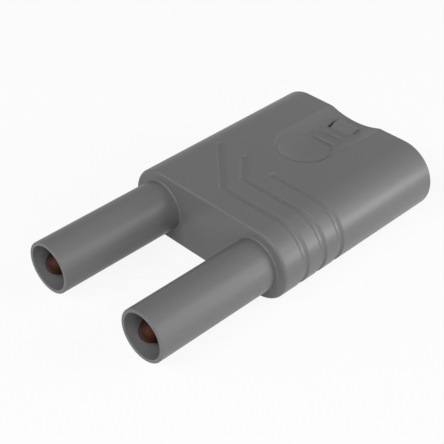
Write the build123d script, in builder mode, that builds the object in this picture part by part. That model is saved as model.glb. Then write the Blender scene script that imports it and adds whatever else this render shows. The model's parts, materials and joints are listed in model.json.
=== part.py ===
from build123d import *
import os

os.makedirs("parts", exist_ok=True)

# Driving dimensions, in millimetres.
# Y runs along the plug with the sleeve mouths at -Y, X from one contact to the other, Z up.

# Interface: contacts of 4 mm on a 19 mm pitch, each pin in a rigid safety sleeve
pitch = 19.0
contact_r = 2.0
sleeve_r = 3.92
sleeve_bore_r = 3.35
sleeve_len = 20.7
sleeve_bore_extra = 0.8
mouth_chamfer = 0.15
root_chamfer = 0.7

# Body: its round sides share the sleeves' axes
body_len = 31.6
body_h = 11.0
front_chamfer = 0.3
rear_chamfer = 0.2

# Thumb scoops, one above and one below, open at the rear face
scoop_w = 10.1
scoop_depth = 1.0
scoop_len = 11.0
rib_r = 0.45
rib_rise = 0.35
rib_len = 5.3
rib_count = 2
rib_from_rear = 5.15
rib_step = 2.05

# Grooves that run round the right side: corner and tail end across the body, from its centre
groove_w = 1.1
groove_floor_w = 0.5
groove_depth = 0.25
groove_first = 4.15
groove_step = 3.55
groove_tail_y = 11.95
groove_ends = [(-1.0, -9.5), (-0.5, -4.5), (1.5, 1.5)]

# Rear sockets: a round pocket about a touch-proof post, deep enough for a mating sleeve
cavity_r = 4.15
cavity_depth = 21.5
post_wall = 0.7
post_setback = 1.0
slot_h = 6.4
moulding_gap = 0.05

# Snap tongues of the insert, and their windows in the scoops
tongue_w = 3.8
tongue_x = 0.15
tongue_t = 1.1
tongue_len = 16.0
tongue_slit = 0.5
flex_gap = 1.6
window_from_rear = 1.5
window_len = 2.7
window_gap_left = 0.4
window_gap_right = 0.1
lug_end_gap = 0.05
lug_rise = 0.45
lug_lead = 0.1
lug_lead_len = 0.65
lug_ramp_len = 0.7

# Contact pins
nose_tip_r = 0.9
nose_len = 2.3
collar_len = 1.5
neck_r = 1.5
neck_len = 12.0
pin_flange_r = 2.9
pin_flange_t = 1.2
web_t = 2.2
pin_gap = 0.05
stud_r = 1.5
stud_len = 5.2

# Barrel springs on the pins' necks
cage_wall = 0.2
cage_bulge_r = 2.1
cage_gap = 0.03
cage_end_gap = 0.1
cage_ring = 1.5
cage_slots = 6
cage_slot_w = 0.5

# Bridge bar and split washers
bar_t = 1.2
bar_h = 4.8
bar_end = 3.2
bar_corner = 0.8
bar_hole_gap = 0.1
washer_t = 0.6
washer_slit = 0.5
washer_skew = 0.6

# Rear socket contacts
socket_wall = 0.5
socket_front_r = 2.2
socket_front_len = 5.5
socket_floor = 0.6
socket_setback = 2.5
socket_chamfer = 0.3
driver_slot_w = 0.8
driver_slot_depth = 1.0
thread_gap = 0.03
captive_gap = 0.1

# Stations along the plug, from the mouths to the rear face
overall_len = sleeve_len + body_len
y_mouth = -overall_len / 2
y_collar = y_mouth + nose_len
y_neck = y_collar + collar_len
y_shank = y_neck + neck_len
y_front = y_mouth + sleeve_len
y_bore_floor = y_front + sleeve_bore_extra
y_web_rear = y_bore_floor + web_t
y_bar_front = y_web_rear + pin_flange_t
y_bar_rear = y_bar_front + bar_t
y_washer_rear = y_bar_rear + washer_t
y_stud_end = y_bar_front + stud_len
y_thread_end = y_stud_end + captive_gap
y_socket_floor = y_thread_end + socket_floor
y_shoulder = y_washer_rear + socket_front_len
y_rear = overall_len / 2
y_socket_end = y_rear - post_setback - socket_setback
y_cavity_floor = y_rear - cavity_depth
y_window_rear = y_rear - window_from_rear
y_window_front = y_window_rear - window_len

# Heights
axis_z = body_h / 2
top_z = body_h

# Sizes that follow from the ones above
scoop_r = (scoop_w**2 / 4 + scoop_depth**2) / (2 * scoop_depth)
socket_r = contact_r + socket_wall
post_bore_r = socket_r + moulding_gap
post_r = post_bore_r + post_wall
insert_h = slot_h - 2 * moulding_gap
scoop_end_y = y_rear - scoop_len
scoop_axis_h = axis_z - scoop_depth + scoop_r
window_w = window_gap_left + tongue_w + window_gap_right
window_x = tongue_x + (window_gap_right - window_gap_left) / 2
contact_axes = {"left": -pitch / 2, "right": pitch / 2}


def section(y, x=0.0):
    """Cross-section plane at y. It faces the rear, so its x runs to the left and its y up."""
    return Plane(origin=(x, y, axis_z), x_dir=(-1, 0, 0), z_dir=(0, 1, 0))


def turning_plane(x_axis):
    """Level plane through a contact axis: its x is the radius and its y runs along the plug."""
    return Plane(origin=(x_axis, 0, axis_z))


def turning_axis(x_axis):
    return Axis((x_axis, 0, axis_z), (0, 1, 0))


# Cutter for the grooves: a tapered bar, as deep below the surface as it stands above it,
# that runs across the top, round the right side and back across the underside.
with BuildPart() as groove_cutter:
    for i, (corner_x, tail_x) in enumerate(groove_ends):
        run_y = y_front + groove_first + i * groove_step
        tail_y = y_front + groove_tail_y
        with BuildLine() as run:
            if tail_x < corner_x:
                Line((tail_x, tail_y, top_z), (corner_x, run_y, top_z))
            Line((corner_x, run_y, top_z), (pitch / 2, run_y, top_z))
            ThreePointArc(
                (pitch / 2, run_y, top_z), (pitch / 2 + axis_z, run_y, axis_z), (pitch / 2, run_y, 0)
            )
            Line((pitch / 2, run_y, 0), (corner_x, run_y, 0))
            if tail_x < corner_x:
                Line((corner_x, run_y, 0), (tail_x, tail_y, 0))
        start = run.wire() @ 0
        heading = run.wire() % 0
        with BuildSketch(Plane(origin=start, x_dir=Vector(0, 0, 1).cross(heading), z_dir=heading)):
            with BuildLine():
                Polyline(
                    (-groove_floor_w / 2, -groove_depth),
                    (groove_floor_w / 2, -groove_depth),
                    (groove_w - groove_floor_w / 2, groove_depth),
                    (groove_floor_w / 2 - groove_w, groove_depth),
                    close=True,
                )
            make_face()
        sweep(path=run.wire(), transition=Transition.RIGHT)


# Housing: one moulding with both sleeves, hollow from the rear for the contacts
with BuildPart() as housing:
    with BuildSketch(section(y_front)):
        SlotCenterToCenter(pitch, body_h)
    extrude(amount=body_len)
    with BuildSketch(section(y_mouth)):
        with GridLocations(pitch, 0, 2, 1):
            Circle(sleeve_r)
    extrude(amount=sleeve_len)

    front_edges = housing.edges().filter_by_position(Axis.Y, y_front, y_front)
    roots = front_edges.filter_by(lambda e: e.geom_type == GeomType.CIRCLE and e.radius < axis_z)
    chamfer(roots, root_chamfer)
    front_edges = housing.edges().filter_by_position(Axis.Y, y_front, y_front)
    front_outline = front_edges.filter_by(
        lambda e: e.geom_type == GeomType.LINE or e.radius > sleeve_r + root_chamfer
    )
    chamfer(front_outline, front_chamfer)
    chamfer(housing.edges().group_by(Axis.Y)[-1], rear_chamfer)
    chamfer(housing.edges().group_by(Axis.Y)[0], mouth_chamfer)

    # Sleeve bores
    with BuildSketch(section(y_mouth)):
        with GridLocations(pitch, 0, 2, 1):
            Circle(sleeve_bore_r)
    extrude(amount=sleeve_len + sleeve_bore_extra, mode=Mode.SUBTRACT)

    add(groove_cutter.part, mode=Mode.SUBTRACT)

    # Scoops: a shallow round trough that ends in a spherical cap
    with BuildSketch(section(scoop_end_y)):
        with GridLocations(0, 2 * scoop_axis_h, 1, 2):
            Circle(scoop_r)
    extrude(amount=scoop_len, mode=Mode.SUBTRACT)
    with Locations((0, scoop_end_y, axis_z + scoop_axis_h), (0, scoop_end_y, axis_z - scoop_axis_h)):
        Sphere(scoop_r, mode=Mode.SUBTRACT)

    # Grip ribs across both scoops
    rib_h = axis_z - scoop_depth + rib_rise - rib_r
    for i in range(rib_count):
        rib_y = y_rear - rib_from_rear - i * rib_step
        with Locations((0, rib_y, axis_z + rib_h), (0, rib_y, axis_z - rib_h)):
            Cylinder(rib_r, rib_len, rotation=(0, 90, 0))

    # Rear pocket for the contacts and the insert, and the pins' holes in the web
    with BuildSketch(section(y_rear)):
        with GridLocations(pitch, 0, 2, 1):
            Circle(cavity_r)
        Rectangle(pitch, slot_h)
    extrude(amount=y_web_rear - y_rear, mode=Mode.SUBTRACT)
    with BuildSketch(section(y_web_rear)):
        with GridLocations(pitch, 0, 2, 1):
            Circle(contact_r + pin_gap)
    extrude(amount=-web_t, mode=Mode.SUBTRACT)

    # Snap windows through the floor of both scoops
    with BuildSketch(Plane(origin=(window_x, (y_window_front + y_window_rear) / 2, axis_z))):
        Rectangle(window_w, window_len)
    extrude(amount=axis_z, both=True, mode=Mode.SUBTRACT)

housing.part.label = "housing"
export_step(housing.part, "parts/housing.step")


# Rear insert: base on the bridge bar, a post about each contact, and the wall between the sockets
with BuildPart() as socket_insert:
    with BuildSketch(section(y_bar_rear)):
        with GridLocations(pitch, 0, 2, 1):
            Circle(cavity_r - moulding_gap)
        Rectangle(pitch, insert_h)
    extrude(amount=y_cavity_floor - y_bar_rear)
    with BuildSketch(section(y_cavity_floor)):
        Rectangle(pitch, insert_h)
        with GridLocations(pitch, 0, 2, 1):
            Circle(cavity_r, mode=Mode.SUBTRACT)
    extrude(amount=cavity_depth)
    with BuildSketch(section(y_cavity_floor)):
        with GridLocations(pitch, 0, 2, 1):
            Circle(post_r)
    extrude(amount=cavity_depth - post_setback)

    # Stepped bores: washer and contact's front end, then the contact's tube
    y_step = y_shoulder - captive_gap
    for bore_r, start_y, end_y in (
        (socket_front_r + moulding_gap, y_bar_rear, y_step),
        (post_bore_r, y_step, y_rear),
    ):
        with BuildSketch(section(start_y)):
            with GridLocations(pitch, 0, 2, 1):
                Circle(bore_r)
        extrude(amount=end_y - start_y, mode=Mode.SUBTRACT)

    # Spring tongues above and below, freed by a slot round three sides
    with BuildSketch(section(y_rear, tongue_x)):
        with GridLocations(0, insert_h - tongue_t - flex_gap, 1, 2):
            Rectangle(tongue_w + 2 * tongue_slit, tongue_t + flex_gap)
    extrude(amount=-tongue_len, mode=Mode.SUBTRACT)
    with BuildSketch(section(y_rear, tongue_x)):
        with GridLocations(0, insert_h - tongue_t, 1, 2):
            Rectangle(tongue_w, tongue_t)
    extrude(amount=-tongue_len)

    # Snap lugs: they stand in the windows, each with a ramp that rises to the rear
    lug_front_y = y_window_front + 2 * lug_end_gap
    lug_rear_y = y_window_rear - lug_end_gap
    ramp_y = lug_front_y + lug_lead_len
    lug_root_h = (insert_h - tongue_t) / 2
    scoop_floor_h = axis_z - scoop_depth
    with BuildSketch(Plane(origin=(tongue_x, 0, axis_z), x_dir=(0, 1, 0), z_dir=(1, 0, 0))):
        with BuildLine():
            Polyline(
                (lug_front_y, lug_root_h),
                (lug_front_y, scoop_floor_h - lug_lead),
                (ramp_y, scoop_floor_h - lug_lead),
                (ramp_y + lug_ramp_len, scoop_floor_h + lug_rise),
                (lug_rear_y, scoop_floor_h + lug_rise),
                (lug_rear_y, lug_root_h),
                close=True,
            )
        make_face()
        mirror(about=Plane.XZ)
    extrude(amount=tongue_w / 2, both=True)

socket_insert.part.label = "socket_insert"
export_step(socket_insert.part, "parts/socket_insert.step")


# Bridge bar: a flat strip on the pins' flanges, with a hole for each pin's threaded tail
with BuildPart() as bridge_bar:
    with BuildSketch(section(y_bar_front)) as strip:
        Rectangle(pitch + 2 * bar_end, bar_h)
        chamfer(strip.vertices(), bar_corner)
        with GridLocations(pitch, 0, 2, 1):
            Circle(stud_r + bar_hole_gap, mode=Mode.SUBTRACT)
    extrude(amount=bar_t)

bridge_bar.part.label = "bridge_bar"
export_step(bridge_bar.part, "parts/bridge_bar.step")


# Each side has its own pin, barrel spring, washer and socket contact
for side, x_axis in contact_axes.items():
    # Contact pin: nose level with the sleeve's mouth, neck for the spring, flange, threaded tail
    with BuildPart() as contact_pin:
        with BuildSketch(turning_plane(x_axis)):
            with BuildLine():
                Polyline(
                    (0, y_mouth),
                    (nose_tip_r, y_mouth),
                    (contact_r, y_collar),
                    (contact_r, y_neck),
                    (neck_r, y_neck),
                    (neck_r, y_shank),
                    (contact_r, y_shank),
                    (contact_r, y_web_rear),
                    (pin_flange_r, y_web_rear),
                    (pin_flange_r, y_bar_front),
                    (stud_r, y_bar_front),
                    (stud_r, y_stud_end),
                    (0, y_stud_end),
                    close=True,
                )
            make_face()
        revolve(axis=turning_axis(x_axis))

    contact_pin.part.label = f"contact_pin_{side}"
    export_step(contact_pin.part, f"parts/contact_pin_{side}.step")

    # Barrel spring: a rolled sheet, slotted between its end rings and swelling to the middle
    ring_r = neck_r + cage_gap
    cage_front = y_neck + cage_end_gap
    cage_rear = y_shank - cage_end_gap
    cage_mid = (cage_front + cage_rear) / 2
    barrel = [
        (ring_r, cage_front),
        (ring_r, cage_front + cage_ring),
        (cage_bulge_r - cage_wall, cage_mid),
        (ring_r, cage_rear - cage_ring),
        (ring_r, cage_rear),
    ]
    with BuildPart() as spring_cage:
        with BuildSketch(turning_plane(x_axis)):
            with BuildLine():
                Polyline(*barrel, *[(r + cage_wall, y) for r, y in reversed(barrel)], close=True)
            make_face()
        revolve(axis=turning_axis(x_axis))
        with BuildSketch(Plane(origin=(x_axis, cage_mid, axis_z), z_dir=(0, 1, 0))):
            with PolarLocations(cage_bulge_r, cage_slots):
                Rectangle(2 * (cage_bulge_r - neck_r), cage_slot_w)
        extrude(amount=(cage_rear - cage_front) / 2 - cage_ring, both=True, mode=Mode.SUBTRACT)

    spring_cage.part.label = f"spring_cage_{side}"
    export_step(spring_cage.part, f"parts/spring_cage_{side}.step")

    # Split washer, as wide as the contact's front end: its slit lies askew, as in a coiled ring
    with BuildPart() as lock_washer:
        washer_plane = Plane(origin=(x_axis, y_bar_rear, axis_z), x_dir=(1, 0, 0), z_dir=(0, 1, 0))
        with BuildSketch(washer_plane):
            Circle(socket_front_r)
            Circle(stud_r + bar_hole_gap, mode=Mode.SUBTRACT)
        extrude(amount=washer_t)
        with BuildSketch(washer_plane):
            with Locations((-washer_skew * washer_t / 2, -socket_front_r)):
                Rectangle(washer_slit, 2 * (socket_front_r - stud_r))
        extrude(amount=washer_t, dir=(washer_skew, 1, 0), mode=Mode.SUBTRACT)

    lock_washer.part.label = f"lock_washer_{side}"
    export_step(lock_washer.part, f"parts/lock_washer_{side}.step")

    # Socket contact: screwed on the pin's tail, and its shoulder holds the insert captive
    with BuildPart() as socket_contact:
        with BuildSketch(turning_plane(x_axis)):
            with BuildLine():
                Polyline(
                    (0, y_thread_end),
                    (stud_r + thread_gap, y_thread_end),
                    (stud_r + thread_gap, y_washer_rear),
                    (socket_front_r, y_washer_rear),
                    (socket_front_r, y_shoulder),
                    (socket_r, y_shoulder),
                    (socket_r, y_socket_end),
                    (contact_r + socket_chamfer, y_socket_end),
                    (contact_r, y_socket_end - socket_chamfer),
                    (contact_r, y_socket_floor),
                    (0, y_socket_floor),
                    close=True,
                )
            make_face()
        revolve(axis=turning_axis(x_axis))
        with Locations((x_axis, y_socket_end, axis_z)):
            Box(2 * socket_r, 2 * driver_slot_depth, driver_slot_w, mode=Mode.SUBTRACT)

    socket_contact.part.label = f"socket_contact_{side}"
    export_step(socket_contact.part, f"parts/socket_contact_{side}.step")
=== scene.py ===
import json
import math

import bpy
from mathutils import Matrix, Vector


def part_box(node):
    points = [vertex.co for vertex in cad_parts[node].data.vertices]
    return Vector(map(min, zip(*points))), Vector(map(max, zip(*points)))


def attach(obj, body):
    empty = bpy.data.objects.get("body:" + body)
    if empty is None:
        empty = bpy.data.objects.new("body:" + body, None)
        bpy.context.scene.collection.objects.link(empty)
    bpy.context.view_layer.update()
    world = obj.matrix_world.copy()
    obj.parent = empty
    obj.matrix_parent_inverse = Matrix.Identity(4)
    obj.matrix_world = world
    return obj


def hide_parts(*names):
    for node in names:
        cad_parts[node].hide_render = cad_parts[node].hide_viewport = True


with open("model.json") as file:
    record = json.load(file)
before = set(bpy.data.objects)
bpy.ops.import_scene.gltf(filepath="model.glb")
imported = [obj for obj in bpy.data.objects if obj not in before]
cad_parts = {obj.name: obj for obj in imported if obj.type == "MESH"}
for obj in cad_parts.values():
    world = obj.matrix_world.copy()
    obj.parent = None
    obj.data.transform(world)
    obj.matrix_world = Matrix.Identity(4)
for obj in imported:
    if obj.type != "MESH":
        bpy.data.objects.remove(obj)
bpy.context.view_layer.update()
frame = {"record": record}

# Housing. One moulding of grey polyamide: a flat body with round sides, on the same axes
# as the two rigid sleeves in front. It has thumb scoops above and below, a bare round badge
# place in the upper one, and decorative grooves that run round the right side.
mm = 0.001
mounts = {m["name"]: m for m in frame["record"]["mounts"]}
left_x = mounts["plug_sleeve_left"]["pos_m"][0]
right_x = mounts["plug_sleeve_right"]["pos_m"][0]
pitch = right_x - left_x
housing_low, housing_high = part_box("housing")
mouth_y, rear_y = housing_low.y, housing_high.y
top_z = housing_high.z
axis_z = top_z / 2
sleeve_len, flange_t = 20.7 * mm, 1.2 * mm
front_y = mouth_y + sleeve_len
bar_low, bar_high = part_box("bridge_bar")
web_rear_y = bar_low.y - flange_t
# Added forms are sunk into their piece, cutters reach beyond it, and a hair is no distance
sunk, beyond, hair = 2 * mm, 1 * mm, 1e-3 * mm


def clear_selection():
    if bpy.context.object and bpy.context.object.mode == "EDIT":
        bpy.ops.object.mode_set(mode="OBJECT")
    bpy.ops.object.select_all(action="DESELECT")


def hold(piece):
    """Makes one piece the only selected one."""
    clear_selection()
    piece.select_set(True)
    bpy.context.view_layer.objects.active = piece


def edit(piece):
    """Enters edit mode on one piece, with nothing of it selected."""
    hold(piece)
    bpy.ops.object.mode_set(mode="EDIT")
    bpy.ops.mesh.select_all(action="DESELECT")


def pick(piece, kind, wanted):
    """Selects the vertices, edges or faces of the edited piece whose points all pass a test."""
    bpy.ops.mesh.select_mode(type=kind)
    bpy.ops.object.mode_set(mode="OBJECT")
    mesh = piece.data
    for group in (mesh.polygons, mesh.edges, mesh.vertices):
        group.foreach_set("select", [False] * len(group))
    points = mesh.vertices
    for item in getattr(mesh, {"VERT": "vertices", "EDGE": "edges", "FACE": "polygons"}[kind]):
        spots = [item.co] if kind == "VERT" else [points[i].co for i in item.vertices]
        if all(wanted(spot) for spot in spots):
            item.select = True
    bpy.ops.object.mode_set(mode="EDIT")


def placed(piece):
    """Leaves edit mode and puts the piece's place into its mesh."""
    hold(piece)
    bpy.ops.object.transform_apply(location=True, rotation=True, scale=True)
    return piece


def near(a, b, room=hair):
    return abs(a - b) < room


def shape_with(piece, kind, **settings):
    """Adds one modifier to a piece and applies it."""
    hold(piece)
    modifier = piece.modifiers.new(kind.title(), kind)
    for name, value in settings.items():
        setattr(modifier, name, value)
    bpy.ops.object.modifier_apply(modifier=modifier.name)


def combine(piece, other, operation):
    """Cuts another solid out of a piece, or fuses it on, and takes the other one away."""
    shape_with(piece, "BOOLEAN", operation=operation, object=other, solver="MANIFOLD")
    bpy.data.meshes.remove(other.data)


def cut(piece, other):
    combine(piece, other, "DIFFERENCE")


def fuse(piece, other):
    combine(piece, other, "UNION")


def merge_and_turn_out():
    """Merges the doubles of the edited mesh and turns its faces outwards."""
    bpy.ops.mesh.select_all(action="SELECT")
    bpy.ops.mesh.remove_doubles(threshold=0.1 * hair)
    bpy.ops.mesh.select_all(action="SELECT")
    bpy.ops.mesh.normals_make_consistent(inside=False)


def rod(radius, start_y, end_y, x, z=axis_z, segments=192):
    """A plain bar along Y, the start of most round features."""
    clear_selection()
    bpy.ops.mesh.primitive_cylinder_add(
        vertices=segments,
        radius=radius,
        depth=end_y - start_y,
        location=(x, (start_y + end_y) / 2, z),
        rotation=(math.pi / 2, 0, 0),
    )
    return placed(bpy.context.object)


def block(low, high):
    """A plain bar between two corners."""
    clear_selection()
    low, high = Vector(low), Vector(high)
    bpy.ops.mesh.primitive_cube_add(size=1, location=(low + high) / 2, scale=high - low)
    return placed(bpy.context.object)


def round_over(piece, wanted, radius, segments=4):
    """Rounds the chosen edges of a piece."""
    edit(piece)
    pick(piece, "EDGE", wanted)
    bpy.ops.mesh.bevel(offset=radius, offset_type="OFFSET", segments=segments, profile=0.5)
    clear_selection()


def stadium(half_height, start_y, end_y, segments=192):
    """A bar along Y with flat top and bottom and a round side about each contact axis."""
    clear_selection()
    bpy.ops.mesh.primitive_circle_add(
        vertices=segments,
        radius=half_height,
        location=(0, 0, axis_z),
        rotation=(math.pi / 2, 0, 0),
    )
    bar = placed(bpy.context.object)
    edit(bar)
    bpy.ops.mesh.select_all(action="SELECT")
    bpy.ops.mesh.bisect(plane_co=(0, 0, 0), plane_no=(1, 0, 0), clear_inner=True)
    bpy.ops.mesh.select_all(action="SELECT")
    bpy.ops.transform.translate(value=(right_x, start_y, 0))
    shape_with(bar, "MIRROR", use_mirror_merge=False)
    edit(bar)
    bpy.ops.mesh.select_all(action="SELECT")
    bpy.ops.mesh.bridge_edge_loops()
    bpy.ops.mesh.select_all(action="SELECT")
    bpy.ops.mesh.dissolve_faces()
    bpy.ops.mesh.select_all(action="SELECT")
    bpy.ops.mesh.extrude_region_move(TRANSFORM_OT_translate={"value": (0, end_y - start_y, 0)})
    bpy.ops.mesh.select_all(action="SELECT")
    bpy.ops.mesh.normals_make_consistent(inside=False)
    return bar


sleeve_r, bore_r = mounts["plug_sleeve_left"]["dims"]["r_mm"] * mm, 3.35 * mm
front_rounding, rear_rounding = 0.45 * mm, 0.3 * mm
root_rounding, mouth_rounding = 0.25 * mm, 0.15 * mm
clear_of_faces = 0.01 * mm
housing = stadium(axis_z, front_y, rear_y)
housing.name = "housing_moulding"
round_over(housing, lambda p: near(p.y, front_y), front_rounding, 10)
round_over(housing, lambda p: near(p.y, rear_y), rear_rounding, 8)

# The sleeves grow out of the front face with a rounded root
root_face_y = front_y - clear_of_faces
for x in (left_x, right_x):
    sleeve = rod(sleeve_r + root_rounding, root_face_y, front_y + sunk, x)
    edit(sleeve)
    pick(sleeve, "FACE", lambda p: near(p.y, root_face_y))
    bpy.ops.mesh.inset(thickness=root_rounding)
    bpy.ops.mesh.extrude_region_move(
        TRANSFORM_OT_translate={"value": (0, mouth_y - root_face_y, 0)}
    )
    round_over(sleeve, lambda p: near(p.y, mouth_y), mouth_rounding, 5)
    round_over(
        sleeve,
        lambda p: near(p.y, root_face_y)
        and math.hypot(p.x - x, p.z - axis_z) < sleeve_r + root_rounding / 2,
        root_rounding - clear_of_faces,
        6,
    )
    fuse(housing, sleeve)

# Scoops: a shallow trough that ends in a round hollow, both shaped from one arc
scoop_w, scoop_depth, scoop_len = 10.1 * mm, 1.0 * mm, 11.0 * mm
scoop_r = (scoop_w**2 / 4 + scoop_depth**2) / (2 * scoop_depth)
scoop_end_y = rear_y - scoop_len
scoop_half_arc, hollow_arc = 0.55 * scoop_w, math.radians(25)


def scoop_tool(side):
    """The solid that a thumb scoop takes away: above the body for side 1, below for side -1."""
    scoop_axis_z = axis_z + side * (axis_z - scoop_depth + scoop_r)
    clear_selection()
    bpy.ops.mesh.primitive_circle_add(
        vertices=720,
        radius=scoop_r,
        location=(0, scoop_end_y, scoop_axis_z),
        rotation=(math.pi / 2, 0, 0),
    )
    tool = placed(bpy.context.object)
    edit(tool)
    pick(tool, "VERT", lambda p: abs(p.x) > scoop_half_arc or side * (p.z - scoop_axis_z) > 0)
    bpy.ops.mesh.delete(type="VERT")
    pick(tool, "EDGE", lambda p: near(p.y, scoop_end_y))
    bpy.ops.mesh.extrude_region_move(TRANSFORM_OT_translate={"value": (0, scoop_len + sunk, 0)})
    pick(tool, "EDGE", lambda p: near(p.y, scoop_end_y))
    hub = (0, scoop_end_y, scoop_axis_z)
    bpy.ops.mesh.spin(steps=60, angle=hollow_arc * side, center=hub, axis=(1, 0, 0))
    bpy.ops.mesh.select_all(action="SELECT")
    bpy.ops.mesh.extrude_region_move(
        TRANSFORM_OT_translate={"value": (0, 0, side * 2.5 * scoop_depth)}
    )
    merge_and_turn_out()
    return tool


for side in (1, -1):
    cut(housing, scoop_tool(side))

# The badge place is bare: only the fine line round it is engraved, along the scoop's curve
badge_r, badge_line_r, badge_line_w, badge_line_depth = 4.17 * mm, 4.12 * mm, 0.3 * mm, 0.05 * mm
badge_y = scoop_end_y - scoop_w / 2 + badge_r
badge_line = scoop_tool(1)
edit(badge_line)
bpy.ops.mesh.select_all(action="SELECT")
bpy.ops.transform.translate(value=(0, 0, -badge_line_depth))
badge_tube = rod(badge_line_r + badge_line_w / 2, -2 * axis_z, 2 * axis_z, 0, 0)
edit(badge_tube)
bpy.ops.mesh.select_all(action="SELECT")
bpy.ops.transform.rotate(value=math.pi / 2, orient_axis="X", center_override=(0, 0, 0))
bpy.ops.transform.translate(value=(0, badge_y, 0))
bpy.ops.mesh.select_all(action="DESELECT")
for end in (-1, 1):
    pick(badge_tube, "FACE", lambda p: near(p.z, end * 2 * axis_z))
    bpy.ops.mesh.inset(thickness=badge_line_w)
    bpy.ops.mesh.delete(type="FACE")
pick(
    badge_tube,
    "EDGE",
    lambda p: near(math.hypot(p.x, p.y - badge_y), badge_line_r - badge_line_w / 2, 0.02 * mm),
)
bpy.ops.mesh.bridge_edge_loops()
merge_and_turn_out()
combine(badge_line, badge_tube, "INTERSECT")
cut(housing, badge_line)

# Grip ribs, rounded over at their ends
rib_r, rib_rise, rib_len, rib_rounding = 0.45 * mm, 0.35 * mm, 5.3 * mm, 0.35 * mm
rib_from_rear, rib_step = 5.15 * mm, 2.05 * mm
for side in (1, -1):
    for step in range(2):
        rib_y = rear_y - rib_from_rear - step * rib_step
        rib_z = axis_z + side * (axis_z - scoop_depth + rib_rise - rib_r)
        clear_selection()
        bpy.ops.mesh.primitive_cylinder_add(
            vertices=48,
            radius=rib_r,
            depth=rib_len,
            location=(0, rib_y, rib_z),
            rotation=(0, math.pi / 2, 0),
        )
        rib = placed(bpy.context.object)
        for end_x in (-rib_len / 2, rib_len / 2):
            round_over(rib, lambda p: near(p.x, end_x), rib_rounding, 8)
        fuse(housing, rib)


def drawn(stops, closed=False):
    """Draws a line from stop to stop. A fourth number at a stop rounds its corner that far."""
    clear_selection()
    bpy.ops.mesh.primitive_plane_add(size=mm)
    line = bpy.context.object
    edit(line)
    bpy.ops.mesh.select_mode(type="VERT")
    bpy.ops.mesh.select_all(action="SELECT")
    bpy.ops.mesh.merge(type="CENTER")
    bpy.ops.transform.translate(value=stops[0][:3])
    for before, after in zip(stops, stops[1:]):
        step = Vector(after[:3]) - Vector(before[:3])
        bpy.ops.mesh.extrude_region_move(TRANSFORM_OT_translate={"value": step})
    for stop in stops:
        if len(stop) > 3:
            corner = Vector(stop[:3])
            pick(line, "VERT", lambda p: (p - corner).length < hair)
            bpy.ops.mesh.bevel(affect="VERTICES", offset=stop[3], segments=6, profile=0.5)
    if closed:
        bpy.ops.mesh.select_all(action="SELECT")
        bpy.ops.mesh.edge_face_add()
    return line


# Grooves: a bar with soft shoulders is run along each path and cut out. It goes from its
# corner across the top, round the right side and back below. The two front grooves have
# tails that turn to the rear, and a shallow round hollow ends each groove.
groove_half_w, groove_depth, groove_shoulder, flat_share = 0.8 * mm, 0.29 * mm, 0.02 * mm, 0.22
groove_from_front, groove_step = 4.15 * mm, 3.55 * mm
groove_tail_y, groove_top = front_y + 11.63 * mm, 0.6 * mm
groove_ends = [(-1.0 * mm, -9.17 * mm), (-0.5 * mm, -4.19 * mm), (1.95 * mm, 1.95 * mm)]
half_steps = 14
for step, (corner_x, tail_x) in enumerate(groove_ends):
    run_y = front_y + groove_from_front + step * groove_step
    section = []
    for i in range(-half_steps, half_steps + 1):
        share = i / half_steps
        up_the_wall = max(0, abs(share) - flat_share) / (1 - flat_share)
        drop = groove_depth * (0.5 + 0.5 * math.cos(math.pi * up_the_wall)) - groove_shoulder
        section.append((corner_x, run_y + share * groove_half_w, top_z - drop))
    section.append((corner_x, run_y + groove_half_w, top_z + groove_top))
    section.append((corner_x, run_y - groove_half_w, top_z + groove_top))
    groove = drawn(section, closed=True)
    bpy.ops.mesh.extrude_region_move(
        TRANSFORM_OT_translate={"value": (right_x - corner_x, 0, 0)}
    )
    pick(groove, "FACE", lambda p: near(p.x, right_x))
    bpy.ops.mesh.spin(steps=96, angle=-math.pi, center=(right_x, run_y, axis_z), axis=(0, 1, 0))
    bpy.ops.mesh.extrude_region_move(
        TRANSFORM_OT_translate={"value": (corner_x - right_x, 0, 0)}
    )
    if tail_x < corner_x:
        for height in (0, top_z):
            tail = Vector((tail_x - corner_x, groove_tail_y - run_y, 0))
            turn = math.atan2(tail.y, -tail.x)
            corner = (corner_x, run_y, height)
            pick(groove, "FACE", lambda p: near(p.x, corner_x) and abs(p.z - height) < axis_z / 2)
            mitre = 1 / math.cos(turn / 2)
            bpy.ops.transform.resize(value=(1, mitre, 1), center_override=corner)
            bpy.ops.transform.rotate(value=turn / 2, orient_axis="Z", center_override=corner)
            bpy.ops.mesh.extrude_region_move(TRANSFORM_OT_translate={"value": tail})
            tail_end = Vector(corner) + tail
            bpy.ops.transform.rotate(value=-turn / 2, orient_axis="Z", center_override=tail_end)
            bpy.ops.transform.resize(value=(1, 1 / mitre, 1), center_override=tail_end)
            bpy.ops.transform.rotate(value=turn, orient_axis="Z", center_override=tail_end)
    merge_and_turn_out()
    cut(housing, groove)
    end_x, end_y = (tail_x, groove_tail_y) if tail_x < corner_x else (corner_x, run_y)
    hub = (end_x, end_y - clear_of_faces, axis_z)
    half_section = [(y - run_y, z - axis_z) for _, y, z in section[half_steps:-1]]
    half_section.append((0, axis_z + groove_top))
    for side in (1, -1):
        hollow = drawn([(end_x, hub[1] + out, axis_z + side * up) for out, up in half_section])
        bpy.ops.mesh.select_all(action="SELECT")
        bpy.ops.mesh.spin(steps=48, angle=2 * math.pi, center=hub, axis=(0, 0, 1))
        merge_and_turn_out()
        cut(housing, hollow)

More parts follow.
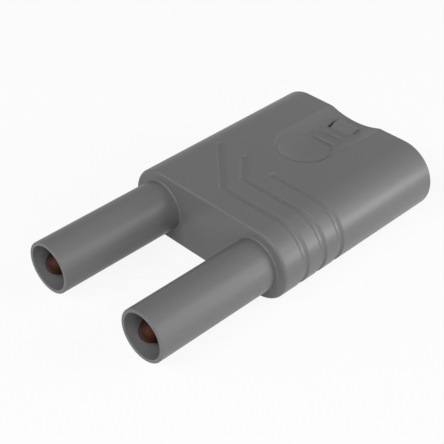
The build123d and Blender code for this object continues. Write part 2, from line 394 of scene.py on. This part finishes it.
# Rear pocket for the insert, sleeve bores with rounded mouths, holes for the pins, windows
pocket_r, slot_h, pin_hole_r = 4.15 * mm, 6.4 * mm, 2.05 * mm
bore_lip, bore_rounding, bore_end_y = 0.1 * mm, 0.09 * mm, front_y + 0.8 * mm
for x in (left_x, right_x):
    cut(housing, rod(pocket_r, web_rear_y, rear_y + beyond, x))
    bore = rod(bore_r + bore_lip, mouth_y - beyond, mouth_y, x)
    edit(bore)
    pick(bore, "FACE", lambda p: near(p.y, mouth_y))
    bpy.ops.mesh.inset(thickness=bore_lip)
    bpy.ops.mesh.extrude_region_move(
        TRANSFORM_OT_translate={"value": (0, bore_end_y - mouth_y, 0)}
    )
    round_over(
        bore,
        lambda p: near(p.y, mouth_y)
        and math.hypot(p.x - x, p.z - axis_z) < bore_r + clear_of_faces,
        bore_rounding,
    )
    cut(housing, bore)
    cut(housing, rod(pin_hole_r, front_y, web_rear_y + beyond, x, segments=128))
slot_low = (left_x, web_rear_y, axis_z - slot_h / 2)
slot_high = (right_x, rear_y + beyond, axis_z + slot_h / 2)
cut(housing, block(slot_low, slot_high))
window_half_w, window_front_y, window_rear_y = 2.15 * mm, rear_y - 4.2 * mm, rear_y - 1.5 * mm
window_low = (-window_half_w, window_front_y, -beyond)
window_high = (window_half_w, window_rear_y, top_z + beyond)
cut(housing, block(window_low, window_high))


class Socket:
    """A node's output, so that sums on it read as plain maths and add their Math nodes."""

    def __init__(self, recipe, output):
        self.recipe, self.output = recipe, output

    def sum(self, operation, first, second):
        return self.recipe.node("ShaderNodeMath", {"operation": operation}, {0: first, 1: second})

    def __add__(self, other):
        return self.sum("ADD", self, other)

    def __sub__(self, other):
        return self.sum("SUBTRACT", self, other)

    def __rsub__(self, other):
        return self.sum("SUBTRACT", other, self)

    def __mul__(self, other):
        return self.sum("MULTIPLY", self, other)

    def __pow__(self, other):
        return self.sum("POWER", self, other)

    __radd__, __rmul__ = __add__, __mul__


class Finish:
    """A material in the making: constants go on the shader, the rest comes from its nodes."""

    def __init__(self, name, owner=None, **constants):
        self.material = owner or bpy.data.materials.new(name)
        self.material.use_nodes = True
        self.tree = self.material.node_tree
        self.shader = self.tree.nodes.get("Principled BSDF")
        for label, value in constants.items():
            self.shader.inputs[label.replace("_", " ")].default_value = value

    def node(self, kind, settings=(), sockets=(), output=0):
        """Adds any node: its settings first, then the values or links of its sockets."""
        made = self.tree.nodes.new(kind)
        for name, value in dict(settings).items():
            setattr(made, name, value)
        for label, value in dict(sockets).items():
            if isinstance(value, Socket):
                self.tree.links.new(value.output, made.inputs[label])
            else:
                made.inputs[label].default_value = value
        return Socket(self, made.outputs[output])

    def feed(self, **links):
        """Links what changes over the surface to the shader."""
        for label, value in links.items():
            self.tree.links.new(value.output, self.shader.inputs[label.replace("_", " ")])

    def place(self):
        return self.node("ShaderNodeTexCoord", output="Object")

    def noise(self, vector, scale, detail=2.0):
        sockets = {"Vector": vector, "Scale": scale, "Detail": detail}
        return self.node("ShaderNodeTexNoise", {"noise_dimensions": "3D"}, sockets)

    def stretched(self, scale):
        """Object coordinates drawn out along the directions that have the smaller numbers."""
        settings = {"operation": "MULTIPLY"}
        return self.node("ShaderNodeVectorMath", settings, {0: self.place(), 1: scale})

    def blend(self, share, first, second):
        settings = {"data_type": "RGBA"}
        sockets = {"Factor": share, "A": (*first, 1), "B": (*second, 1)}
        return self.node("ShaderNodeMix", settings, sockets, output="Result")

    def bump(self, height, distance, strength=1.0):
        sockets = {"Height": height, "Distance": distance, "Strength": strength}
        return self.node("ShaderNodeBump", (), sockets, output="Normal")


def moulded_plastic(name, shade, gloss):
    """Grey polyamide from a fine spark-eroded mould: an even satin with faint flow marks."""
    plastic = Finish(name, Specular_IOR_Level=0.2)
    flow = plastic.noise(plastic.place(), 90.0, 3.0)
    grain = plastic.noise(plastic.place(), 7000.0, 2.0)
    dark, light = [0.96 * value for value in shade], [1.04 * value for value in shade]
    plastic.feed(
        Base_Color=plastic.blend(flow * 0.6 + grain * 0.4, dark, light),
        Roughness=gloss + (flow - 0.5) * 0.06 + (grain - 0.5) * 0.08,
        Normal=plastic.bump(grain, 0.003 * mm, 0.5),
    )
    return plastic.material


def fitted(piece, node, material, crease=30):
    """Gives a finished piece its finish and smooth shading, hangs it under the root and hides the
    CAD part that it stands for.
    """
    hold(piece)
    bpy.ops.object.shade_smooth_by_angle(angle=math.radians(crease))
    piece.data.materials.clear()
    piece.data.materials.append(material)
    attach(piece, "root")
    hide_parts(node)


grey_housing = moulded_plastic("housing_grey", (0.13, 0.13, 0.13), 0.38)
fitted(housing, "housing", grey_housing, crease=12)

# Contact pins. Each is turned from brass bar and plated a copper brown: a rounded nose, a
# narrow neck for the spring, a flange that rests on the housing's web, and an M3 tail.
# Their finish paints the brown much darker than copper, as painted shade for the inside of the
# sleeves.
# They are put in from the rear until the flange meets the web.
cage_low, cage_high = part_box("spring_cage_left")
pin_end_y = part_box("contact_pin_left")[1].y
spring_play = 0.1 * mm
neck_front_y, neck_rear_y = cage_low.y - spring_play, cage_high.y + spring_play
contact_r, neck_r, flange_r, stud_r = 2.0 * mm, 1.5 * mm, 2.9 * mm, 1.5 * mm
thread_pitch, thread_core_r, thread_sunk, thread_lead = 0.5 * mm, 1.2 * mm, 0.05 * mm, 0.8 * mm
thread_start_y = bar_low.y + 0.1 * mm


def turned(name, outline, x, segments=96):
    """Turns a solid about a contact axis from the (radius, y) stops of its outline."""
    piece = drawn([(x + radius, y, axis_z, *rounding) for radius, y, *rounding in outline])
    piece.name = name
    bpy.ops.mesh.select_all(action="SELECT")
    bpy.ops.mesh.spin(steps=segments, angle=2 * math.pi, center=(x, 0, axis_z), axis=(0, 1, 0))
    merge_and_turn_out()
    clear_selection()
    return piece


def thread_ridge(root_r, crest_r, start_y, end_y, x):
    """The ridge of a thread, wound from one tooth. Its root lies a little inside the part."""
    base, flat = 0.45 * thread_pitch, 0.07 * thread_pitch
    tooth = drawn(
        [
            (root_r, start_y - base, 0),
            (crest_r, start_y - flat, 0),
            (crest_r, start_y + flat, 0),
            (root_r, start_y + base, 0),
        ],
        closed=True,
    )
    bpy.ops.mesh.delete(type="ONLY_FACE")
    turns = round((end_y - start_y) / thread_pitch)
    shape_with(
        tooth,
        "SCREW",
        axis="Y",
        screw_offset=thread_pitch,
        iterations=turns,
        steps=40,
        render_steps=40,
    )
    edit(tooth)
    bpy.ops.mesh.select_all(action="SELECT")
    bpy.ops.mesh.fill_holes(sides=4)
    bpy.ops.transform.translate(value=(x, 0, axis_z))
    merge_and_turn_out()
    return tooth


def twin(piece, name):
    """A copy for the other contact, with a mesh of its own."""
    hold(piece)
    bpy.ops.object.duplicate_move(TRANSFORM_OT_translate={"value": (pitch, 0, 0)})
    other = placed(bpy.context.object)
    other.name = name
    return other


left_pin = turned(
    "left_pin",
    [
        (0, mouth_y),
        (0.85 * mm, mouth_y, 0.45 * mm),
        (1.72 * mm, mouth_y + 1.25 * mm, 0.6 * mm),
        (contact_r, mouth_y + 2.3 * mm, 0.4 * mm),
        (contact_r, neck_front_y, 0.15 * mm),
        (neck_r, neck_front_y, 0.08 * mm),
        (neck_r, neck_rear_y, 0.08 * mm),
        (contact_r, neck_rear_y, 0.15 * mm),
        (contact_r, web_rear_y),
        (flange_r, web_rear_y, 0.12 * mm),
        (flange_r, bar_low.y, 0.12 * mm),
        (thread_core_r, bar_low.y),
        (thread_core_r, pin_end_y, 0.15 * mm),
        (0, pin_end_y),
    ],
    left_x,
)
ridge = thread_ridge(thread_core_r - thread_sunk, stud_r, thread_start_y, pin_end_y, left_x)
lead_start_y = bar_low.y + 2 * clear_of_faces
lead = turned(
    "thread_lead",
    [
        (0, lead_start_y),
        (contact_r, lead_start_y),
        (contact_r, pin_end_y - thread_lead),
        (thread_core_r, pin_end_y),
        (0, pin_end_y),
    ],
    left_x,
)
combine(ridge, lead, "INTERSECT")
fuse(left_pin, ridge)
right_pin = twin(left_pin, "right_pin")


def turned_metal(name, shade, gloss, tarnish, **constants):
    """Turned bar stock: fine tool rings about each contact axis, and a thin uneven tarnish."""
    metal = Finish(name, **constants)
    x, y, z = (
        metal.node("ShaderNodeSeparateXYZ", (), {0: metal.place()}, output=axis) for axis in "XYZ"
    )
    across = metal.node("ShaderNodeMath", {"operation": "ABSOLUTE"}, {0: x}) - right_x
    radius = (across**2.0 + (z - axis_z) ** 2.0) ** 0.5
    sockets = {"W": y + radius, "Scale": 12000.0, "Detail": 3.0}
    rings = metal.node("ShaderNodeTexNoise", {"noise_dimensions": "1D"}, sockets)
    stain = metal.noise(metal.place(), 700.0, 4.0)
    mix = rings * 0.35 + stain * 0.65
    metal.feed(
        Base_Color=metal.blend(mix, shade, tarnish),
        Roughness=gloss + (rings - 0.5) * 0.16 + (stain - 0.5) * 0.1,
        Normal=metal.bump(rings, 0.004 * mm, 0.5),
    )
    return metal.material


# Painted shade: the copper brown is made far darker than plating, to stand for the shade inside
# the sleeves
plating_painted_shade = turned_metal(
    "pin_copper_brown", (0.04, 0.017, 0.012), 0.6, (0.03, 0.013, 0.009), Metallic=1.0
)
fitted(left_pin, "contact_pin_left", plating_painted_shade)
fitted(right_pin, "contact_pin_right", plating_painted_shade)

# Barrel springs. Each is a strip of copper alloy, 0.2 mm thick, slotted and rolled into a
# barrel round the pin's neck. Its six leaves bow outwards, and their middle presses on the
# wall of the socket that the pin enters.
strip_t, ring_len, ring_r, bow = 0.2 * mm, 1.5 * mm, 1.73 * mm, 0.37 * mm
bow_steps, leaf_count, columns = 20, 6, 108
slot_half_angle, seam_angle, seam_reach, strip_edge = 6.8, 3.5, 1 * mm, 0.03 * mm
clear_selection()
bpy.ops.mesh.primitive_circle_add(
    vertices=columns,
    radius=ring_r,
    location=(left_x, cage_low.y, axis_z),
    rotation=(math.pi / 2, 0, 0),
)
left_spring = placed(bpy.context.object)
left_spring.name = "left_spring"
edit(left_spring)
bpy.ops.mesh.select_all(action="SELECT")
leaf_low_y, leaf_high_y = cage_low.y + ring_len, cage_high.y - ring_len
leaf_len = leaf_high_y - leaf_low_y
stations = [leaf_low_y + leaf_len * i / bow_steps for i in range(bow_steps + 1)]
last_y, last_r = cage_low.y, ring_r
for y in [*stations, cage_high.y]:
    share = min(1, max(0, (y - leaf_low_y) / leaf_len))
    r = ring_r + bow * math.sin(math.pi * share) ** 1.5
    growth = (r / last_r, 1, r / last_r)
    bpy.ops.mesh.extrude_region_move(TRANSFORM_OT_translate={"value": (0, y - last_y, 0)})
    bpy.ops.transform.resize(value=growth, center_override=(left_x, y, axis_z))
    last_y, last_r = y, r


def off_slot(p):
    """How many degrees a point lies from the middle of the nearest slot."""
    degrees = math.degrees(math.atan2(p.z - axis_z, p.x - left_x))
    return (degrees + 180 / leaf_count) % (360 / leaf_count) - 180 / leaf_count


def in_slot(p):
    return abs(off_slot(p)) < slot_half_angle and leaf_low_y - hair < p.y < leaf_high_y + hair


def in_seam(p):
    """One column of faces beside each of the two lowest slots, where the end rings are open."""
    at_bottom = p.z < axis_z and abs(p.x - left_x) < seam_reach
    return at_bottom and -0.1 < off_slot(p) < seam_angle


for opening in (in_slot, in_seam):
    pick(left_spring, "FACE", opening)
    bpy.ops.mesh.delete(type="FACE")
merge_and_turn_out()
shape_with(left_spring, "SOLIDIFY", thickness=strip_t, offset=-1)
shape_with(
    left_spring,
    "BEVEL",
    width=strip_edge,
    segments=2,
    limit_method="ANGLE",
    angle_limit=math.radians(50),
)
right_spring = twin(left_spring, "right_spring")


def rolled_metal(name, shade, tarnish, gloss, grain_scale, **constants):
    """Rolled strip: hairlines along the rolling direction and a thin uneven tarnish."""
    metal = Finish(name, **constants)
    hairlines = metal.noise(metal.stretched(grain_scale), 1.0, 3.0)
    stain = metal.noise(metal.place(), 600.0, 4.0)
    metal.feed(
        Base_Color=metal.blend(hairlines * 0.4 + stain * 0.6, shade, tarnish),
        Roughness=gloss + (hairlines - 0.5) * 0.2,
        Normal=metal.bump(hairlines, 0.003 * mm, 0.5),
    )
    return metal.material


spring_copper = rolled_metal(
    "spring_copper_alloy",
    (0.62, 0.36, 0.2),
    (0.45, 0.24, 0.13),
    0.32,
    (9000, 500, 9000),
    Metallic=1.0,
)
fitted(left_spring, "spring_cage_left", spring_copper)
fitted(right_spring, "spring_cage_right", spring_copper)

# Bridge bar. It is stamped from 1.2 mm brass strip, with a rolled-over edge on its punched
# side, and joins both pins. It is dropped over their threaded tails, onto the flanges.
bar_corner, bar_edge, bar_hole_r = 0.8 * mm, 0.12 * mm, 1.6 * mm
bar = block(bar_low, bar_high)
bar.name = "joining_bar"
for corner_x in (bar_low.x, bar_high.x):
    for corner_z in (bar_low.z, bar_high.z):
        round_over(bar, lambda p: near(p.x, corner_x) and near(p.z, corner_z), bar_corner, 1)
round_over(bar, lambda p: near(p.y, bar_high.y), bar_edge)
for x in (left_x, right_x):
    punch = turned(
        "punch",
        [
            (0, bar_low.y - beyond),
            (bar_hole_r, bar_low.y - beyond),
            (bar_hole_r, bar_high.y, bar_edge),
            (bar_hole_r + beyond, bar_high.y),
            (bar_hole_r + beyond, bar_high.y + beyond),
            (0, bar_high.y + beyond),
        ],
        x,
    )
    cut(bar, punch)
bar_brass = rolled_metal(
    "bar_brass", (0.72, 0.52, 0.24), (0.55, 0.38, 0.17), 0.34, (500, 8000, 8000), Metallic=1.0
)
fitted(bar, "bridge_bar", bar_brass)

# Rear insert. A second grey moulding: a base on the bridge bar, a touch-proof post about
# each socket contact and the wall between them. It is pushed in from the rear until the
# lugs on its two spring tongues snap into the housing's windows.
gap, insert_edge = 0.05 * mm, 0.15 * mm
insert_half_h = slot_h / 2 - gap
cavity_floor_y, step_y = rear_y - 21.5 * mm, bar_high.y + 6.0 * mm
post_r, post_bore_r, front_bore_r, post_end_y = 3.25 * mm, 2.55 * mm, 2.25 * mm, rear_y - 1 * mm
insert_rear_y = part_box("socket_insert")[1].y
wall_low = (left_x, cavity_floor_y - gap, axis_z - insert_half_h)
insert = block(wall_low, (right_x, rear_y, axis_z + insert_half_h))
insert.name = "rear_insert"
round_over(insert, lambda p: near(p.y, insert_rear_y), insert_edge)
for x in (left_x, right_x):
    cut(insert, rod(pocket_r, cavity_floor_y - 2 * gap, rear_y + beyond, x))
base_low = (left_x, bar_high.y, axis_z - insert_half_h)
fuse(insert, block(base_low, (right_x, cavity_floor_y, axis_z + insert_half_h)))
for x in (left_x, right_x):
    post = turned(
        "post",
        [
            (0, bar_high.y),
            (pocket_r - gap, bar_high.y, 0.2 * mm),
            (pocket_r - gap, cavity_floor_y, 0.1 * mm),
            (post_r, cavity_floor_y, 0.2 * mm),
            (post_r, post_end_y, 0.3 * mm),
            (0, post_end_y),
        ],
        x,
        segments=160,
    )
    fuse(insert, post)
    hollow = turned(
        "hollow",
        [
            (0, bar_high.y - beyond),
            (front_bore_r, bar_high.y - beyond),
            (front_bore_r, step_y),
            (post_bore_r, step_y),
            (post_bore_r, post_end_y, 0.2 * mm),
            (post_bore_r + beyond, post_end_y),
            (post_bore_r + beyond, rear_y + beyond),
            (0, rear_y + beyond),
        ],
        x,
        segments=160,
    )
    cut(insert, hollow)

# Spring tongues, freed by a slot round three sides, each with a snap lug
tongue_x, tongue_w, tongue_t, tongue_len = 0.18 * mm, 3.86 * mm, 1.1 * mm, 16 * mm
tongue_left_x, tongue_right_x = tongue_x - tongue_w / 2, tongue_x + tongue_w / 2
tongue_front_y = rear_y - tongue_len
tongue_slit, flex_gap = 0.5 * mm, 1.6 * mm
scoop_floor_h = axis_z - scoop_depth
lug_root_h, lug_lead_h = insert_half_h - tongue_t / 2, scoop_floor_h - 0.1 * mm
lug_top_h, lug_corner = scoop_floor_h + 0.45 * mm, 0.08 * mm
lug_front_y, lug_rear_y = window_front_y + 2 * gap, window_rear_y - gap
ramp_low_y, ramp_high_y = lug_front_y + 0.55 * mm, lug_front_y + 1.3 * mm
for side in (1, -1):
    inner_z = axis_z + side * (insert_half_h - tongue_t)
    freed_z = axis_z + side * (insert_half_h - tongue_t - flex_gap)
    outer_z = axis_z + side * insert_half_h
    low_z, high_z = sorted((freed_z, outer_z + side * beyond))
    freed_low = (tongue_left_x - tongue_slit, tongue_front_y, low_z)
    freed_high = (tongue_right_x + tongue_slit, rear_y + beyond, high_z)
    cut(insert, block(freed_low, freed_high))
    low_z, high_z = sorted((inner_z, outer_z))
    tongue_low = (tongue_left_x, tongue_front_y - gap, low_z)
    tongue = block(tongue_low, (tongue_right_x, rear_y, high_z))
    round_over(tongue, lambda p: near(p.y, insert_rear_y), insert_edge)
    lug_stops = [
        (lug_front_y, lug_root_h),
        (lug_front_y, lug_lead_h, lug_corner),
        (ramp_low_y, lug_lead_h, 0.15 * mm),
        (ramp_high_y, lug_top_h, 0.25 * mm),
        (lug_rear_y, lug_top_h, lug_corner),
        (lug_rear_y, lug_root_h),
    ]
    lug = drawn(
        [(tongue_left_x, y, axis_z + side * h, *rounding) for y, h, *rounding in lug_stops],
        closed=True,
    )
    bpy.ops.mesh.extrude_region_move(TRANSFORM_OT_translate={"value": (tongue_w, 0, 0)})
    merge_and_turn_out()
    fuse(tongue, lug)
    fuse(insert, tongue)
# The insert's own grey moulding, made lighter than the housing's grey: painted light that
# brightens the lug in the window
lightened_insert_grey = moulded_plastic("insert_grey", (0.145, 0.145, 0.145), 0.38)
fitted(insert, "socket_insert", lightened_insert_grey)

# Lock washers. Zinc-plated split rings of spring steel, tightened flat between the bridge
# bar and the socket contacts. The slit lies askew, as in a ring cut from a coil.
washer_low, washer_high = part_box("lock_washer_left")
washer_r, washer_edge = 2.2 * mm, 0.07 * mm
slit_w, slit_lean, slit_over = 0.5 * mm, 0.216 * mm, 0.06 * mm
washer_mid_y = (washer_low.y + washer_high.y) / 2
left_washer = turned(
    "left_washer",
    [
        (bar_hole_r, washer_mid_y),
        (bar_hole_r, washer_high.y, washer_edge),
        (washer_r, washer_high.y, washer_edge),
        (washer_r, washer_low.y, washer_edge),
        (bar_hole_r, washer_low.y, washer_edge),
        (bar_hole_r, washer_mid_y),
    ],
    left_x,
)
slit_low = (left_x - slit_w / 2, washer_low.y, axis_z + bar_hole_r - 0.2 * mm)
slit_high = (left_x + slit_w / 2, washer_high.y, axis_z + washer_r + 0.8 * mm)
slit = block(slit_low, slit_high)
edit(slit)
for face_y, way in ((washer_low.y, -1), (washer_high.y, 1)):
    pick(slit, "FACE", lambda p: near(p.y, face_y))
    bpy.ops.transform.translate(value=(way * slit_lean, way * slit_over, 0))
cut(left_washer, slit)
right_washer = twin(left_washer, "right_washer")


def zinc_plate(name):
    """Zinc on steel: dull bright grey, with small cells that differ in gloss."""
    zinc = Finish(name, Metallic=1.0)
    sockets = {"Vector": zinc.place(), "Scale": 2500.0}
    cells = zinc.node("ShaderNodeTexVoronoi", {"feature": "F1"}, sockets)
    haze = zinc.noise(zinc.place(), 900.0, 4.0)
    zinc.feed(
        Base_Color=zinc.blend(haze, (0.66, 0.67, 0.68), (0.5, 0.51, 0.53)),
        Roughness=0.34 + (haze - 0.5) * 0.2 + cells * 0.08,
        Normal=zinc.bump(haze, 0.004 * mm, 0.4),
    )
    return zinc.material


washer_zinc = zinc_plate("washer_zinc")
fitted(left_washer, "lock_washer_left", washer_zinc)
fitted(right_washer, "lock_washer_right", washer_zinc)

# Socket contacts. Turned brass tubes for 4 mm pins, with a driver slot across the mouth.
# They are screwed onto the pins' tails through the insert's posts, tighten the bridge bar
# on the flanges, and hold the insert captive under their shoulders.
socket_low, socket_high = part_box("socket_contact_left")
socket_r, socket_front_r, tap_r, tap_lead = 2.5 * mm, 2.2 * mm, 2.0 * mm, 0.3 * mm
thread_hole_r, thread_end_y, socket_floor_y = 1.53 * mm, pin_end_y + 0.1 * mm, pin_end_y + 0.7 * mm
shoulder_y = socket_low.y + 5.5 * mm
driver_slot_half_w, driver_slot_depth = 0.4 * mm, 1.0 * mm
left_socket = turned(
    "left_socket",
    [
        (0, thread_end_y),
        (thread_hole_r, thread_end_y),
        (thread_hole_r, socket_low.y, 0.1 * mm),
        (socket_front_r, socket_low.y, 0.1 * mm),
        (socket_front_r, shoulder_y),
        (socket_r, shoulder_y, 0.06 * mm),
        (socket_r, socket_high.y, 0.14 * mm),
        (tap_r + tap_lead, socket_high.y, 0.05 * mm),
        (tap_r, socket_high.y - tap_lead, 0.12 * mm),
        (tap_r, socket_floor_y, 0.2 * mm),
        (0, socket_floor_y),
    ],
    left_x,
    segments=128,
)
slot_low = (left_x - 3 * mm, socket_high.y - driver_slot_depth, axis_z - driver_slot_half_w)
slot_high = (left_x + 3 * mm, socket_high.y + beyond, axis_z + driver_slot_half_w)
cut(left_socket, block(slot_low, slot_high))
inner_ridge = thread_ridge(
    thread_hole_r + 0.03 * mm,
    1.31 * mm,
    thread_start_y + 4.5 * thread_pitch,
    thread_end_y - thread_pitch,
    left_x,
)
fuse(left_socket, inner_ridge)
right_socket = twin(left_socket, "right_socket")
socket_brass = turned_metal(
    "socket_brass", (0.72, 0.52, 0.24), 0.3, (0.56, 0.39, 0.17), Metallic=1.0
)
fitted(left_socket, "socket_contact_left", socket_brass)
fitted(right_socket, "socket_contact_right", socket_brass)

# Studio: a pale floor under the plug and a dim room, which the camera and gloss both see as
# white, and large soft lamps that stand round the plug. The floor keeps a faint shadow.
clear_selection()
bpy.ops.mesh.primitive_plane_add(size=2.0, location=(0, 0, 0))
floor = bpy.context.object
floor.name = "floor"
floor_finish = Finish("floor_white", Roughness=0.9)
floor_finish.shader.inputs["Base Color"].default_value = (0.8, 0.8, 0.8, 1)


def seen(finish):
    """1 for the rays that show the background: from the camera, in gloss and through glass."""
    total = None
    for label in ("Is Camera Ray", "Is Glossy Ray", "Is Transmission Ray"):
        ray = finish.node("ShaderNodeLightPath", output=label)
        total = ray if total is None else total + ray
    return finish.node("ShaderNodeClamp", (), {0: total})


floor_output = floor_finish.tree.nodes["Material Output"]
white = floor_finish.node("ShaderNodeEmission", (), {"Strength": 1.0})
white_share = seen(floor_finish) * 0.9
shader_out = Socket(floor_finish, floor_finish.shader.outputs[0])
floor_mix = floor_finish.node("ShaderNodeMixShader", (), {0: white_share, 1: shader_out, 2: white})
floor_finish.tree.links.new(floor_mix.output, floor_output.inputs[0])
floor.data.materials.append(floor_finish.material)

world = bpy.data.worlds.new("studio")
bpy.context.scene.world = world
room = Finish("studio", owner=world)
room_light = 0.05
background = room.tree.nodes["Background"]
background.inputs["Color"].default_value = (1, 1, 1, 1)
brightness = room_light + seen(room) * (1 - room_light)
room.tree.links.new(brightness.output, background.inputs["Strength"])

# Each lamp's name, its bearing and height in degrees, and its power in watts
lamps = [
    ("left_front", 325, 22, 0.6),
    ("front_high", 0, 42, 1.35),
    ("corner_high", 30, 42, 1.15),
    ("corner_low", 60, 18, 1.0),
    ("right_low", 130, 6, 2.3),
    ("right_high", 125, 34, 1.1),
]
lamp_distance, lamp_size = 0.6, 0.25
aim = Vector((0, 0, axis_z))


def direction(bearing, height):
    """From the plug outwards: the bearing is 0 in front of it and 90 on its right."""
    bearing, height = math.radians(bearing), math.radians(height)
    level = math.cos(height)
    return Vector((math.sin(bearing) * level, -math.cos(bearing) * level, math.sin(height)))


for name, bearing, height, power in lamps:
    way = direction(bearing, height)
    bpy.ops.object.light_add(type="AREA", location=aim + way * lamp_distance)
    lamp = bpy.context.object
    lamp.name = name
    lamp.data.shape = "DISK"
    lamp.data.size = lamp_size
    lamp.data.energy = power
    lamp.rotation_euler = way.to_track_quat("Z", "Y").to_euler()

# Camera: on the right of the sleeves and above them, as the photograph was taken
bpy.ops.object.camera_add(location=Vector((92.52, -93.93, 103.87)) * mm)
camera = bpy.context.object
camera.rotation_euler = direction(45.36, 36.99).to_track_quat("Z", "Y").to_euler()
camera.data.sensor_width = 36
camera.data.lens = 93.34
camera.data.clip_start = 0.001
bpy.context.scene.camera = camera
bpy.context.scene.view_settings.view_transform = "Standard"
